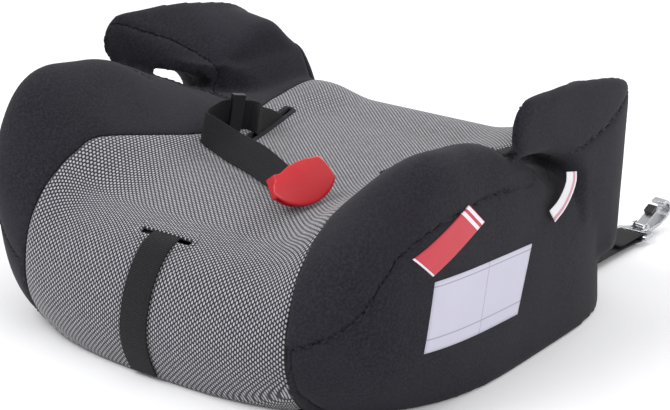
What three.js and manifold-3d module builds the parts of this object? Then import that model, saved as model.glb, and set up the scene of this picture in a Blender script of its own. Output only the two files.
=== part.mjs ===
// A child's backless car booster seat: an open-bottomed moulded shell under a foam pad and a sewn
// cover, with a webbing adjuster, two anchor hooks and a shoulder-belt positioning strap.
// Millimetres, +Z up. The origin is on the floor under the middle of the seat; the child faces -Y.
import * as THREE from 'three';
import { mergeVertices } from 'three/addons/utils/BufferGeometryUtils.js';
import Module from 'manifold-3d';

const wasm = await Module();
wasm.setup();

// ---------- driving dimensions ----------
const halfWidth = 200;
const rearDepth = 201; // how far the plan reaches behind the origin
const frontDepth = 203; // and in front of it, from flareHeight up
const floorTuck = 16; // the front hem stands this much further back, at floor level
const flareHeight = 50;
const rings = 36; // points round the seat
const coverThickness = 2.5;
const fit = 0.3; // clearance between pieces that touch
const layerGap = 0.9; // clearance between cover, foam and shell
const foamThickness = 9;
const shellThickness = 3;
const hemHeight = 1;
const dish = 9; // how far the middle of the seat lies below its seams
const armEdge = 13; // rounding of the arm's edges
const armFall = 24; // how far the arm's top falls towards the child
const armFallStart = 194; // |x| where the fall starts
const armFallReach = 18; // and how quickly it comes, going inwards
const armLean = 0.35; // slope of the arm's inner face behind the notch
const armProud = 0.4; // the arm's outer face stands this much out of the seat's side
const armTuck = 8; // and its hidden foot this much inside it
const seamGap = 0.4;
const finest = 0.02; // detail smaller than this is dropped
const webbingWidth = 25;
const webbingThickness = 1.4;
const frontSlotZ = 103; // height of the adjuster slot in the front of the cover
const strapX = -4; // the adjuster strap hangs a little to the left
const strapZ = 88; // height of the adjuster strap under the seat
const strapProud = 1.4; // the strap's middle line stands this far off the cover
const anchorX = 138; // |x| of the two anchor straps
const anchorZ = 7;
const hookY = 305; // where each anchor strap loops round its hook's bar
const hookBarZ = 6.6;

const foamOuter = coverThickness + layerGap;
const foamInner = foamOuter + foamThickness;
const shellOuter = foamInner + layerGap;
const shellInner = shellOuter + shellThickness;

// Seat profile, as [y, height] at the seams and along the ridge of the side bolsters.
const seamProfile = [[-210, 130], [-140, 130], [-80, 131], [80, 131], [120, 131], [200, 139]];
const ridgeProfile = [[-210, 176], [-165, 192], [-140, 205], [-115, 207], [-80, 200], [-55, 197], [-30, 190],
  [-2, 175], [20, 163], [40, 152], [60, 145], [85, 136], [120, 134], [200, 139]];
const ridgeFoot = 84; // |x| where the bolster starts to rise
const ridgeTop = 197; // |x| where it is at full height

// Power of the plan's superellipse at each height, as [z, power]: the corners flare out upwards.
const frontCorners = [[0, 2.6], [25, 3.2], [50, 3.7], [80, 4.3], [120, 5.3]];
const rearCorners = [[0, 4.6], [50, 4.2], [80, 4.6], [120, 7]];

/** Points of a circular arc about (u, v), from one angle to another in degrees. */
function arc(u, v, radius, from, to, steps) {
  return Array.from({ length: steps + 1 }, (_, i) => {
    const angle = (from + (to - from) * i / steps) * Math.PI / 180;
    return [u + radius * Math.cos(angle), v + radius * Math.sin(angle)];
  });
}

// Side view of an arm, as [y, z], from its hidden foot in the seat round the front nose and back.
const noseRadius = 23;
const armOutline = [[196, 40], [198, 118], [194, 148], [184, 169], [164, 188], [138, 199], [97, 206],
  [60, 210.5], [28, 211], ...arc(-1, 187.5, noseRadius, 95, 265, 5), [26, 160], [44, 154], [60, 147], [70, 138], [76, 126],
  [77, 100], [80, 40]];
// The arm's inner face seen from above, as [y, |x|].
const armFace = [[-40, 197], [-22, 191], [0, 182], [30, 167], [60, 153], [90, 148], [210, 146]];

// The seams each side of the woven centre panel, seen from above as [y, |x|].
const centreSeam = [[-215, 127], [-180, 122], [-140, 118], [-120, 118], [-100, 114], [-60, 104], [-20, 94],
  [0, 94],
  [40, 98], [60, 100], [100, 113], [130, 119], [190, 128]];
// The side panel reaches out from |x| and up to z along the seat, as [y, |x|, z]. Its upper seam climbs
// round the front corner, runs back below the bolster, into the notch and along the arm.
const sideSeam = [[-230, 127, 42], [-203, 127, 44], [-199, 127, 50], [-189, 127, 61], [-179, 127, 75],
  [-178, 182, 77], [-171, 182, 91], [-165, 182, 110], [-155, 182, 128], [-135, 182, 140],
  [-105, 182, 146], [-65, 182, 149], [-40, 182, 148], [-14, 182, 144], [10, 182, 138], [22, 186, 135],
  [22.5, 187, 157], [32, 195, 156], [44, 190, 154],
  [56, 182, 153], [64, 176, 153], [87, 173, 156], [117, 173, 161], [145, 173, 171], [205, 173, 194]];
// The gusset on the arm's inner face: the seam above it and the line below it, as [y, z].
const gussetSeam = [[-36, 211], [-22, 207], [-5, 201], [15, 193], [38, 184], [55, 173], [67, 163], [72, 150],
  [67, 140], [58, 133]];
const gussetFoot = [[56, 139], [44, 148], [30, 154], [14, 159], [0, 162], [-12, 164], [-24, 174], [-36, 184]];
const rearSeamY = 186;

// The slits that the belt strap can come up through, front end and rear end as [|x|, y].
const slitEnds = [[67, 11], [87, 90]];

// ---------- helpers ----------
const part = new THREE.Group();

/** A smooth function through [x, value] points. */
function through(points) {
  return (at) => {
    const last = points.length - 1;
    const x = Math.min(Math.max(at, points[0][0]), points[last][0]);
    let i = 0;
    while (i < last - 1 && x > points[i + 1][0]) i += 1;
    const [x0, v0] = points[i];
    const [x1, v1] = points[i + 1];
    const slope = (a, b) => (points[b][1] - points[a][1]) / (points[b][0] - points[a][0]);
    const span = x1 - x0;
    const start = slope(Math.max(i - 1, 0), i + 1) * span;
    const end = slope(i, Math.min(i + 2, last)) * span;
    const t = (x - x0) / span;
    const rise = v1 - v0;
    return v0 + t * start + t * t * (3 * rise - 2 * start - end) + t * t * t * (start + end - 2 * rise);
  };
}

const smooth = (low, high, value) => {
  const t = Math.min(Math.max((value - low) / (high - low), 0), 1);
  return t * t * (3 - 2 * t);
};

/** A closed geometry as a manifold-3d solid. */
function solid(geometry) {
  const bare = geometry.clone();
  bare.deleteAttribute('normal');
  bare.deleteAttribute('uv');
  const merged = mergeVertices(bare, 1e-3);
  return new wasm.Manifold(new wasm.Mesh({
    numProp: 3,
    vertProperties: Float32Array.from(merged.attributes.position.array),
    triVerts: Uint32Array.from(merged.index.array),
  }));
}

/** A solid back as a geometry, without the slivers that cutting leaves. */
function geometryOf(manifold) {
  const { vertProperties, triVerts } = manifold.simplify(finest).getMesh();
  const geometry = new THREE.BufferGeometry();
  geometry.setAttribute('position', new THREE.BufferAttribute(vertProperties, 3));
  geometry.setIndex(new THREE.BufferAttribute(triVerts, 1));
  const flat = geometry.toNonIndexed();
  flat.computeVertexNormals();
  return flat;
}

/** A geometry from plain lists of coordinates and corner numbers. */
function meshed(positions, indices) {
  const geometry = new THREE.BufferGeometry();
  geometry.setAttribute('position', new THREE.Float32BufferAttribute(positions, 3));
  geometry.setIndex(indices);
  return geometry;
}

/** A geometry mirrored to the other side of the seat. */
function mirrored(geometry) {
  const flipped = geometry.clone();
  const position = flipped.attributes.position;
  for (let i = 0; i < position.count; i += 1) position.setX(i, -position.getX(i));
  const corners = [];
  for (let i = 0; i < position.count; i += 3) corners.push(i, i + 2, i + 1);
  flipped.setIndex(corners);
  flipped.computeVertexNormals();
  return flipped;
}

/** The biggest of a cut solid's lumps: slivers are dropped. */
const largest = (piece) => piece.decompose().sort((a, b) => b.volume() - a.volume())[0];

const union = (list) => list.reduce((all, next) => all.add(next));

/** A box from its lowest to its highest corner. */
function box(low, high) {
  const size = high.map((value, i) => value - low[i]);
  const geometry = new THREE.BoxGeometry(...size);
  geometry.translate(...high.map((value, i) => (value + low[i]) / 2));
  return geometry;
}

/** An outline extruded along X from x0 to x1; the outline's points are [y, z]. */
function alongX(outline, x0, x1) {
  const shape = new THREE.Shape(outline.map(([y, z]) => new THREE.Vector2(y, z)));
  const geometry = new THREE.ExtrudeGeometry(shape, { depth: x1 - x0, bevelEnabled: false });
  // Shape axes (u, v, depth) become (Y, Z, X).
  geometry.applyMatrix4(new THREE.Matrix4().set(0, 0, 1, x0, 1, 0, 0, 0, 0, 1, 0, 0, 0, 0, 0, 1));
  return geometry;
}

/** An outline extruded along Z from z0 to z1; the outline's points are [x, y]. */
function alongZ(outline, z0, z1) {
  const shape = new THREE.Shape(outline.map(([x, y]) => new THREE.Vector2(x, y)));
  const geometry = new THREE.ExtrudeGeometry(shape, { depth: z1 - z0, bevelEnabled: false });
  geometry.translate(0, 0, z0);
  return geometry;
}

/** The outline of a line of points thickened to both sides. */
function band(points, thickness) {
  const line = points.map(([u, v]) => new THREE.Vector2(u, v));
  const side = (sign) => line.map((point, i) => {
    const before = line[Math.max(i - 1, 0)];
    const after = line[Math.min(i + 1, line.length - 1)];
    const along = after.clone().sub(before).normalize();
    return [point.x - along.y * sign * thickness / 2, point.y + along.x * sign * thickness / 2];
  });
  return [...side(-1), ...side(1).reverse()];
}

/** A rounded rectangle outline centred on (u, v). */
function roundedRectangle(u, v, width, height, radius, steps = 3) {
  const points = [];
  for (let corner = 0; corner < 4; corner += 1) {
    const cu = u + (corner === 0 || corner === 3 ? 1 : -1) * (width / 2 - radius);
    const cv = v + (corner < 2 ? 1 : -1) * (height / 2 - radius);
    for (let i = 0; i <= steps; i += 1) {
      const angle = (corner + i / steps) * Math.PI / 2;
      points.push([cu + radius * Math.cos(angle), cv + radius * Math.sin(angle)]);
    }
  }
  return points;
}

/** A round bar along X. */
function barX(radius, x0, x1, y, z, sides = 12) {
  const circle = [];
  for (let i = 0; i < sides; i += 1) {
    const angle = i / sides * 2 * Math.PI;
    circle.push([y + radius * Math.cos(angle), z + radius * Math.sin(angle)]);
  }
  return alongX(circle, x0, x1);
}

function add(name, geometry, color, roughness, metalness = 0) {
  const shown = geometry.isBufferGeometry ? geometry : geometryOf(geometry);
  const mesh = new THREE.Mesh(shown, new THREE.MeshStandardMaterial({ color, roughness, metalness }));
  mesh.name = name;
  part.add(mesh);
}

const finishes = {
  weave: [0x77757a, 0.85],
  knit: [0x35333a, 0.9],
  webbing: [0x1d1c1e, 0.75],
  shell: [0x2b2b2d, 0.55],
  foam: [0xd9d6cf, 0.95],
  redPlastic: [0xb8242f, 0.3],
  blackPlastic: [0x141415, 0.3],
  steel: [0x9a9a9d, 0.35, 1],
  label: [0xe6e4ec, 0.6],
  tag: [0xc93a4a, 0.7],
};

// ---------- the seat's form ----------
const seamHeight = through(seamProfile);
const ridgeHeight = through(ridgeProfile);
const frontPower = through(frontCorners);
const rearPower = through(rearCorners);
const faceX = through(armFace);

/** How high the seat would be at a place if its edges weren't rounded. */
function topHeight(x, y) {
  const rise = smooth(ridgeFoot, ridgeTop, Math.abs(x));
  const hollow = dish * smooth(-200, -120, y) * (1 - smooth(60, 110, Math.abs(x)));
  return seamHeight(y) - hollow + (ridgeHeight(y) - seamHeight(y)) * rise;
}

/** One point of the seat's skin: level runs out from the middle to the edge, lift up from the floor. */
function skinPoint(angle, reach, lift, inset) {
  const [along, across] = [Math.sin(angle), Math.cos(angle)];
  let place = [reach * halfWidth * across, reach * frontDepth * along, 0];
  for (let pass = 0; pass < 2; pass += 1) {
    const z = (topHeight(place[0], place[1]) - inset) * lift;
    const rearShare = smooth(0, 0.5, along);
    const power = frontPower(z) * (1 - rearShare) + rearPower(z) * rearShare;
    const low = 1 - Math.min(Math.max(z, 0), flareHeight) / flareHeight;
    const depth = along < 0 ? frontDepth - floorTuck * low * low : rearDepth;
    const radius = reach * (Math.abs(across) ** power + Math.abs(along) ** power) ** (-1 / power);
    place = [(halfWidth - inset) * radius * across, (depth - inset) * radius * along, z];
  }
  return place;
}

/** The seat body as one closed solid, drawn in by an inset all round, from its foot's height upwards. */
function seatBody(inset, foot = 0) {
  const wallShares = [0, 0.18, 0.36, 0.54, 0.72, 0.88];
  const topShares = [1, 0.93, 0.83, 0.68, 0.5, 0.25];
  const shares = [...wallShares, ...topShares];
  const positions = [];
  const indices = [];
  shares.forEach((share, row) => {
    for (let ring = 0; ring < rings; ring += 1) {
      const angle = ring / rings * 2 * Math.PI;
      const edgePower = 9 - 5.6 * smooth(0.4, 0.9, -Math.sin(angle));
      const level = share * 2 ** (-1 / edgePower); // share 1 is the middle of the rounded edge
      const other = (1 - level ** edgePower) ** (1 / edgePower);
      const [reach, lift] = row < wallShares.length ? [other, level] : [level, other];
      const [x, y, z] = skinPoint(angle, reach, lift, inset);
      positions.push(x, y, row === 0 ? foot : z);
    }
  });
  const summit = positions.length / 3;
  positions.push(0, 0, topHeight(0, 0) - inset);
  positions.push(0, 0, foot);
  for (let ring = 0; ring < rings; ring += 1) {
    const next = (ring + 1) % rings;
    const onLeft = Math.cos((ring + 0.5) / rings * 2 * Math.PI) < 0; // its diagonals mirror the right side's
    for (let row = 0; row < shares.length - 1; row += 1) {
      const [a, b] = [row * rings + ring, row * rings + next];
      if (onLeft) indices.push(a, b, a + rings, b, b + rings, a + rings);
      else indices.push(a, b, b + rings, a, b + rings, a + rings);
    }
    indices.push((shares.length - 1) * rings + ring, (shares.length - 1) * rings + next, summit);
    indices.push(next, ring, summit + 1);
  }
  return solid(meshed(positions, indices));
}

/** A tall prism with the seat's plan well above the floor, which rounds off the arms' rear corners. */
function planPrism(inset) {
  const plan = [];
  for (let ring = 0; ring < rings * 2; ring += 1) {
    plan.push(skinPoint(ring / rings * Math.PI, 1, 0.9, inset).slice(0, 2));
  }
  return solid(alongZ(plan, -10, 260));
}

/** A closed outline moved inwards by a distance; the outline runs clockwise in its own plane. */
function drawnIn(outline, distance) {
  const count = outline.length;
  return outline.map(([u, v], i) => {
    const [u0, v0] = outline[(i + count - 1) % count];
    const [u1, v1] = outline[(i + 1) % count];
    const before = new THREE.Vector2(u - u0, v - v0).normalize();
    const after = new THREE.Vector2(u1 - u, v1 - v).normalize();
    const along = before.clone().add(after).normalize();
    const reach = distance / Math.max(along.dot(before), 0.5);
    return [u - along.y * reach, v + along.x * reach];
  });
}

/** The right arm, drawn in by an inset all round: a wedge that thins to its nose. */
function arm(inset) {
  const edge = Math.max(armEdge - inset, 1);
  const layers = [];
  for (const sign of [1, -1]) {
    const turns = [0, 0.5, 1].map((share) => share * Math.PI / 2);
    if (sign > 0) turns.reverse();
    for (const turn of turns) layers.push([sign, 1 - Math.sin(turn), inset + edge * (1 - Math.cos(turn))]);
  }
  const count = armOutline.length;
  const positions = [];
  const indices = [];
  for (const [sign, rounding, offset] of layers) {
    drawnIn(armOutline, offset).forEach(([y, z], i) => {
      const [outlineY, outlineZ] = armOutline[i]; // every inset leans and falls by the same amount
      const lean = armLean * Math.max(165 - outlineZ, 0) * smooth(50, 100, outlineY);
      const half = (halfWidth - faceX(y) + (sign > 0 ? lean : 0)) / 2;
      const across = (depth) => {
        const reach = Math.max(half - depth, 0.5);
        const drawIn = Math.min(Math.max(armEdge - depth, 1), 0.8 * reach) * rounding;
        return halfWidth - half - sign * (reach - drawIn);
      };
      const inwards = Math.max(armFallStart - across(0), 0);
      const fall = armFall * (1 - Math.exp(-inwards / armFallReach)) * smooth(150, 200, outlineZ);
      const proud = armProud - armTuck * (1 - smooth(40, 100, outlineZ));
      positions.push(across(inset) + proud, y, z - fall);
    });
  }
  for (let layer = 0; layer < layers.length - 1; layer += 1) {
    for (let i = 0; i < count; i += 1) {
      const [a, b] = [layer * count + i, layer * count + (i + 1) % count];
      indices.push(a, b, b + count, a, b + count, a + count);
    }
  }
  const capCorners = (first) => {
    const corner = (i) => new THREE.Vector2(positions[3 * (first + i) + 1], positions[3 * (first + i) + 2]);
    return THREE.ShapeUtils.triangulateShape(armOutline.map((_, i) => corner(i)), []);
  };
  const last = (layers.length - 1) * count;
  capCorners(0).forEach(([a, b, c]) => indices.push(a, c, b));
  capCorners(last).forEach(([a, b, c]) => indices.push(last + a, last + b, last + c));
  return solid(meshed(positions, indices)).intersect(planPrism(inset - 1));
}

/** A solid for the right side together with its mirror image for the left. */
const bothSides = (manifold) => manifold.add(solid(mirrored(geometryOf(manifold))));

/** Seat and arms drawn in together. */
const upholstered = (inset, foot) => seatBody(inset, foot).add(bothSides(arm(inset)));

/** A thin layer of the given thickness lying on the seat's skin, inside a cutting shape. */
function onSkin(cutter, thickness) {
  return solid(cutter).intersect(seatBody(-fit - thickness, -5)).subtract(seatBody(-fit, -8));
}

/** A flat strap through stations, each [lower edge point, upper edge point]. */
function ribbon(stations, thickness) {
  const vector = (point) => new THREE.Vector3(...point);
  const middles = stations.map(([low, high]) => vector(low).add(vector(high)).multiplyScalar(0.5));
  const positions = [];
  const indices = [];
  stations.forEach(([low, high], i) => {
    const ahead = middles[Math.min(i + 1, middles.length - 1)].clone().sub(middles[Math.max(i - 1, 0)]);
    const across = vector(high).sub(vector(low));
    const normal = ahead.cross(across).normalize().multiplyScalar(thickness / 2);
    [vector(low).sub(normal), vector(high).sub(normal), vector(high).add(normal), vector(low).add(normal)]
      .forEach((corner) => positions.push(corner.x, corner.y, corner.z));
  });
  for (let i = 0; i < stations.length - 1; i += 1) {
    for (let side = 0; side < 4; side += 1) {
      const [a, b] = [i * 4 + side, i * 4 + (side + 1) % 4];
      indices.push(a, b, b + 4, a, b + 4, a + 4);
    }
  }
  const end = (stations.length - 1) * 4;
  indices.push(0, 2, 1, 0, 3, 2, end, end + 1, end + 2, end, end + 2, end + 3);
  return solid(meshed(positions, indices));
}

// ---------- the openings that the straps pass through ----------
/** A vertical cut along the right-hand belt slit. */
function slit(width, extra, z0 = 60, z1 = 160) {
  const [from, to] = slitEnds.map(([x, y]) => new THREE.Vector2(x, y));
  const along = to.clone().sub(from).normalize();
  const start = from.clone().addScaledVector(along, -extra);
  const end = to.clone().addScaledVector(along, extra);
  return alongZ(band([[start.x, start.y], [end.x, end.y]], width), z0, z1);
}
const slits = (width, extra) => bothSides(solid(slit(width, extra)));

// The adjuster strap's route, as [y, z]: up the front, in through the slot and level to the yoke.
const strapOutside = [0.03, 0.1, 0.2, 0.3, 0.42, 0.54, 0.66, 0.76].map((level) => {
  const reach = (1 - level ** 3.4) ** (1 / 3.4);
  return skinPoint(-Math.PI / 2, reach, level, -strapProud).slice(1);
});
const strapInside = [[-164, frontSlotZ], [-150, 101], [-130, 93], [-112, strapZ], [-60, strapZ], [-45, 86],
  [-20, 78], [70, 76]];
const strapTunnel = (height, halfX, from, to) => alongX(
  band([[-176, frontSlotZ], ...strapInside.slice(from, to)], height), strapX - halfX, strapX + halfX,
);
const anchorNotches = (halfX, top) => bothSides(solid(box(
  [anchorX - halfX, 150, -20], [anchorX + halfX, 230, top],
)));

// ---------- shell ----------
const adjusterY = [-112, -72];
const adjusterZ = [strapZ + 2.8, strapZ + 4.4];
const rivetYs = [-104, -80];

function upright(radius, x, y, z0, z1, sides = 12) {
  const geometry = new THREE.CylinderGeometry(radius, radius, z1 - z0, sides);
  geometry.rotateX(Math.PI / 2);
  geometry.translate(x, y, (z0 + z1) / 2);
  return geometry;
}

/** The fin of the right arm, which stands up out of the shell into the foam. */
function armFin(grow) {
  const outline = [[172, 105], [170, 132], [156, 146], [134, 154], [112, 156], [98, 142], [94, 105]];
  const [finX, finHalf] = [173, 2];
  return solid(alongX(drawnIn(outline, -grow), finX - finHalf - grow, finX + finHalf + grow));
}

function shell() {
  const room = seatBody(shellInner - 1, 0);
  const flange = solid(box([-250, -250, 0], [250, 250, 3]))
    .intersect(seatBody(shellOuter)).subtract(seatBody(shellOuter + 16, -6));
  const ribFoot = 84;
  const ribs = [-55, 55].map((x) => box([x - 1.2, -130, ribFoot], [x + 1.2, 170, 140]));
  ribs.push(box([-190, 129, ribFoot], [190, 131.4, 140]));
  // A saddle under the middle takes weight to the floor; the adjuster strap runs through it.
  const saddle = [
    box([-22, -20, 0], [22, 20, 3]), box([-22, -20, 2], [-19, 20, 140]), box([19, -20, 2], [22, 20, 140]),
  ];
  const bosses = rivetYs.map((y) => upright(5, strapX, y, adjusterZ[1] + fit, 140));
  const bores = rivetYs.map((y) => upright(1.8, strapX, y, 80, adjusterZ[1] + 4));
  return seatBody(shellOuter, 0)
    .add(bothSides(armFin(0)))
    .subtract(seatBody(shellInner, -6))
    .add(flange)
    .add(union([...ribs, ...saddle, ...bosses].map(solid)).intersect(room))
    .subtract(union(bores.map(solid)))
    .subtract(slits(9, 5))
    .subtract(solid(strapTunnel(13, 17, 1, 4)))
    .subtract(anchorNotches(15, 14));
}
add('seat_shell', largest(shell()), ...finishes.shell);

// ---------- foam ----------
function addFoam() {
  const floor = solid(box([-250, -250, -20], [250, 250, 2.2]));
  const seat = seatBody(foamOuter)
    .subtract(seatBody(foamInner, -6))
    .subtract(bothSides(armFin(fit)))
    .subtract(floor)
    .subtract(slits(7.5, 4))
    .subtract(solid(strapTunnel(13, 17, 0, 4)))
    .subtract(anchorNotches(14.5, 13));
  add('seat_foam', largest(seat), ...finishes.foam);
  const armFoam = largest(arm(foamOuter).subtract(seatBody(foamOuter - layerGap)).subtract(armFin(fit)));
  add('right_arm_foam', armFoam, ...finishes.foam);
  add('left_arm_foam', mirrored(geometryOf(armFoam)), ...finishes.foam);
}
addFoam();

// ---------- cover ----------
/** A wall whose side view is an outline of [y, z], between two lines given as functions of y. */
function wall(outline, near, far) {
  const geometry = alongX(outline, 0, 1);
  const position = geometry.attributes.position;
  for (let i = 0; i < position.count; i += 1) {
    const y = position.getY(i);
    position.setX(i, position.getX(i) > 0.5 ? far(y) : near(y));
  }
  return geometry;
}

const spineX = (y) => (halfWidth + faceX(y)) / 2; // the line down the middle of the arm

/** The room between the two seams of the centre panel. */
function centreRoom(grow) {
  const seam = through(centreSeam);
  const steps = 24;
  const ys = Array.from({ length: steps + 1 }, (_, i) => -230 + (rearSeamY + 231) * i / steps);
  const right = ys.map((y) => [seam(y) + grow, y]);
  return solid(alongZ([...right, ...right.map(([x, y]) => [-x, y]).reverse()], -10, 260));
}

/** The room that the right side panel takes. */
function sideRoom(grow) {
  const positions = [];
  const indices = [];
  sideSeam.forEach(([y, x, z]) => {
    positions.push(x - grow, y, -20, x - grow, y, z + grow, 240, y, z + grow, 240, y, -20);
  });
  for (let i = 0; i < sideSeam.length - 1; i += 1) {
    for (let corner = 0; corner < 4; corner += 1) {
      const [a, b] = [i * 4 + corner, i * 4 + (corner + 1) % 4];
      indices.push(a, b, b + 4, a, b + 4, a + 4);
    }
  }
  const end = (sideSeam.length - 1) * 4;
  indices.push(0, 2, 1, 0, 3, 2, end, end + 1, end + 2, end, end + 2, end + 3);
  const low = solid(box([100, -250, -20], [240, 205, sideSeam[0][2] + grow]));
  return solid(meshed(positions, indices)).add(low);
}

/** The room that the right arm's gusset takes. */
function gussetRoom(grow) {
  const outline = drawnIn([...gussetSeam, ...gussetFoot], grow);
  return solid(wall(outline, (y) => faceX(y) - 6 - grow, (y) => spineX(y) + grow));
}

function addCover() {
  const skin = upholstered(0, 0)
    .subtract(upholstered(coverThickness, -6))
    .subtract(solid(box([-250, -250, -20], [250, 250, hemHeight])))
    .subtract(slits(6, 2))
    .subtract(solid(box([strapX - 27, -230, frontSlotZ - 5], [strapX + 27, -150, frontSlotZ + 2])))
    .subtract(anchorNotches(14, 12));
  const front = skin.intersect(solid(box([-250, -250, -20], [250, rearSeamY, 260])));
  add('centre_panel', largest(front.intersect(centreRoom(0))), ...finishes.weave);
  const rear = skin.intersect(solid(box([-250, rearSeamY + seamGap, -20], [250, 250, 260])));
  add('rear_panel', largest(rear), ...finishes.knit);
  const right = front.subtract(centreRoom(seamGap)).intersect(solid(box([0, -250, -20], [250, 250, 260])));
  const upper = right.subtract(sideRoom(seamGap));
  const panels = {
    side_panel: largest(right.intersect(sideRoom(0))),
    arm_gusset: largest(upper.intersect(gussetRoom(0))),
    bolster_panel: largest(upper.subtract(gussetRoom(seamGap))),
  };
  for (const [name, panel] of Object.entries(panels)) {
    add(`right_${name}`, panel, ...finishes.knit);
    add(`left_${name}`, mirrored(geometryOf(panel)), ...finishes.knit);
  }
}
addCover();

// ---------- trim sewn to the cover ----------
const labelThickness = 0.6;
const sideLabel = (outline) => onSkin(alongX(outline, 150, 230), labelThickness);
const bindingWidth = 5; // stitched edging round each slit
const rightSlitEdging = onSkin(slit(7 + 2 * bindingWidth, 8, 100, 160), labelThickness)
  .subtract(solid(slit(7, 3)));

function addTrim() {
  const hemBand = solid(box([-250, -250, 0.4], [250, 250, 1.9]));
  const hem = seatBody(foamOuter).subtract(seatBody(foamInner, -6)).intersect(hemBand);
  add('cover_hem', hem, ...finishes.knit);
  const tagEnds = [[-144, 126], [-84, 150], [-64, 133], [-124, 109]];
  add('side_tag', sideLabel(tagEnds), ...finishes.tag);
  const patch = [[-121, 103], [-111, 105], [6, 97], [-9, 46], [-122, 50]];
  add('instruction_patch', sideLabel(patch), ...finishes.label);
  const [slotFoot, slotTop] = [frontSlotZ - 7, frontSlotZ + 7];
  const slotEdging = onSkin(box([strapX - 34, -230, slotFoot], [strapX + 34, -120, slotTop]), labelThickness)
    .subtract(solid(box([strapX - 27, -230, frontSlotZ - 5.5], [strapX + 27, -110, frontSlotZ + 2.5])))
    .subtract(solid(box([strapX - 14, -230, frontSlotZ - 20], [strapX + 14, -110, frontSlotZ])));
  add('front_slot_edging', largest(slotEdging), ...finishes.weave);
  add('right_slit_edging', rightSlitEdging, ...finishes.knit);
  add('left_slit_edging', mirrored(geometryOf(rightSlitEdging)), ...finishes.knit);
  const careLabel = [[[201.2, 56, 139], [201.2, 68, 136]], [[201.6, 52, 132], [201.6, 64, 129]],
    [[202, 46, 120], [202, 58, 117]], [[202, 42, 112], [202, 54, 109]]];
  add('care_label', ribbon(careLabel, labelThickness), ...finishes.label);
}
addTrim();

// ---------- harness under the seat ----------
/** A strap that keeps level across its width: its middle line as [y, z] at a fixed x. */
const levelStrap = (line, x = 0) => line.map(([y, z]) => [
  [x - webbingWidth / 2, y, z], [x + webbingWidth / 2, y, z],
]);

function addAdjuster() {
  const [y0, y1] = adjusterY;
  const [z0, z1] = adjusterZ;
  const [pinY, pinZ, pinRadius] = [-92, strapZ - 8, 2];
  const at = (x0, x1) => [strapX + x0, strapX + x1];
  const sides = [-16.2, 16.2].map((x) => box([strapX + x - 0.8, y0, pinZ - 5], [strapX + x + 0.8, y1, z1]));
  const frame = union([box([strapX - 17, y0, z0], [strapX + 17, y1, z1]), ...sides].map(solid))
    .subtract(solid(barX(pinRadius + fit, ...at(-20, 20), pinY, pinZ)))
    .subtract(union(rivetYs.map((y) => solid(upright(1.8, strapX, y, z0 - 5, z1 + 5)))));
  add('adjuster_frame', frame, ...finishes.steel);
  add('adjuster_pin', barX(pinRadius, ...at(-17.6, 17.6), pinY, pinZ), ...finishes.steel);
  // The cam grips the strap from below; its lever points forward and is pulled down to let go.
  const lobe = [[5, 2.6], [3, 5.4], [0, 6.9], [-3, 6.2], [-6, 4], [-11, 1.6], [-30, 0.4], [-33, -1],
    [-30, -2.2], [-11, -2], [-5, -3.6], [0, -4.6], [4, -2.6]];
  const cam = solid(alongX(lobe.map(([v, w]) => [pinY + v, pinZ + w]), ...at(-11, 11)))
    .subtract(solid(barX(pinRadius + fit, ...at(-20, 20), pinY, pinZ)));
  add('adjuster_cam', cam, ...finishes.steel);
  rivetYs.forEach((y, i) => {
    const head = solid(upright(3, strapX, y, z0 - 1.2, z0 - 0.2));
    const shank = solid(upright(1.5, strapX, y, z0 - 0.6, z1 + 3.4));
    add(`adjuster_rivet_${i + 1}`, head.add(shank), ...finishes.steel);
  });
}
addAdjuster();

const yokeY = [64, 86];
const yokeZ = 76;

function addHarness() {
  const route = [...strapOutside, ...strapInside.slice(0, -1), [56, yokeZ], [yokeY[0] - 1, yokeZ]];
  add('adjust_strap', ribbon(levelStrap(route, strapX), webbingThickness), ...finishes.webbing);
  // The yoke joins the adjuster strap to the two anchor straps.
  const slots = [
    box([strapX - 13.5, yokeY[0] + 3, 70], [strapX + 13.5, yokeY[0] + 7, 82]),
    box([strapX - 27, yokeY[1] - 8, 70], [strapX + 33, yokeY[1] - 4, 82]),
  ];
  const outline = roundedRectangle(0, (yokeY[0] + yokeY[1]) / 2, 72, yokeY[1] - yokeY[0], 5);
  const yoke = solid(alongZ(outline, yokeZ - 1.5, yokeZ + 1.5)).subtract(union(slots.map(solid)));
  add('strap_yoke', yoke, ...finishes.steel);
  // Each anchor strap leaves the yoke sideways, runs to its notch, turns back and loops its hook's bar.
  const radius = 1.9 + fit + webbingThickness / 2;
  const edge = webbingWidth / 2;
  const loop = [-90, -60, -30, 0, 30, 60, 90].map((angle) => angle * Math.PI / 180);
  const stations = [
    [[3, 96, 74], [26, 89, 74]], [[24, 109, 62], [46, 94, 62]], [[56, 128, 44], [78, 110, 44]],
    [[92, 148, 23], [114, 127, 23]], [[114, 160, 12], [136, 139, 12]],
    [[anchorX - edge, 176, 8], [anchorX + edge, 166, 8]],
    ...levelStrap([
      [190, anchorZ], [240, anchorZ], [292, 5],
      ...loop.map((angle) => [hookY + radius * Math.cos(angle), hookBarZ + radius * Math.sin(angle)]),
      [298, 9.6], [262, 9.6],
    ], anchorX),
  ];
  const strap = ribbon(stations, webbingThickness);
  add('right_anchor_strap', strap, ...finishes.webbing);
  add('left_anchor_strap', mirrored(geometryOf(strap)), ...finishes.webbing);
}
addHarness();

// ---------- anchor hooks ----------
const hookYaw = -8 * Math.PI / 180; // the hooks splay outwards
const hookSteel = 3.2;

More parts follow.
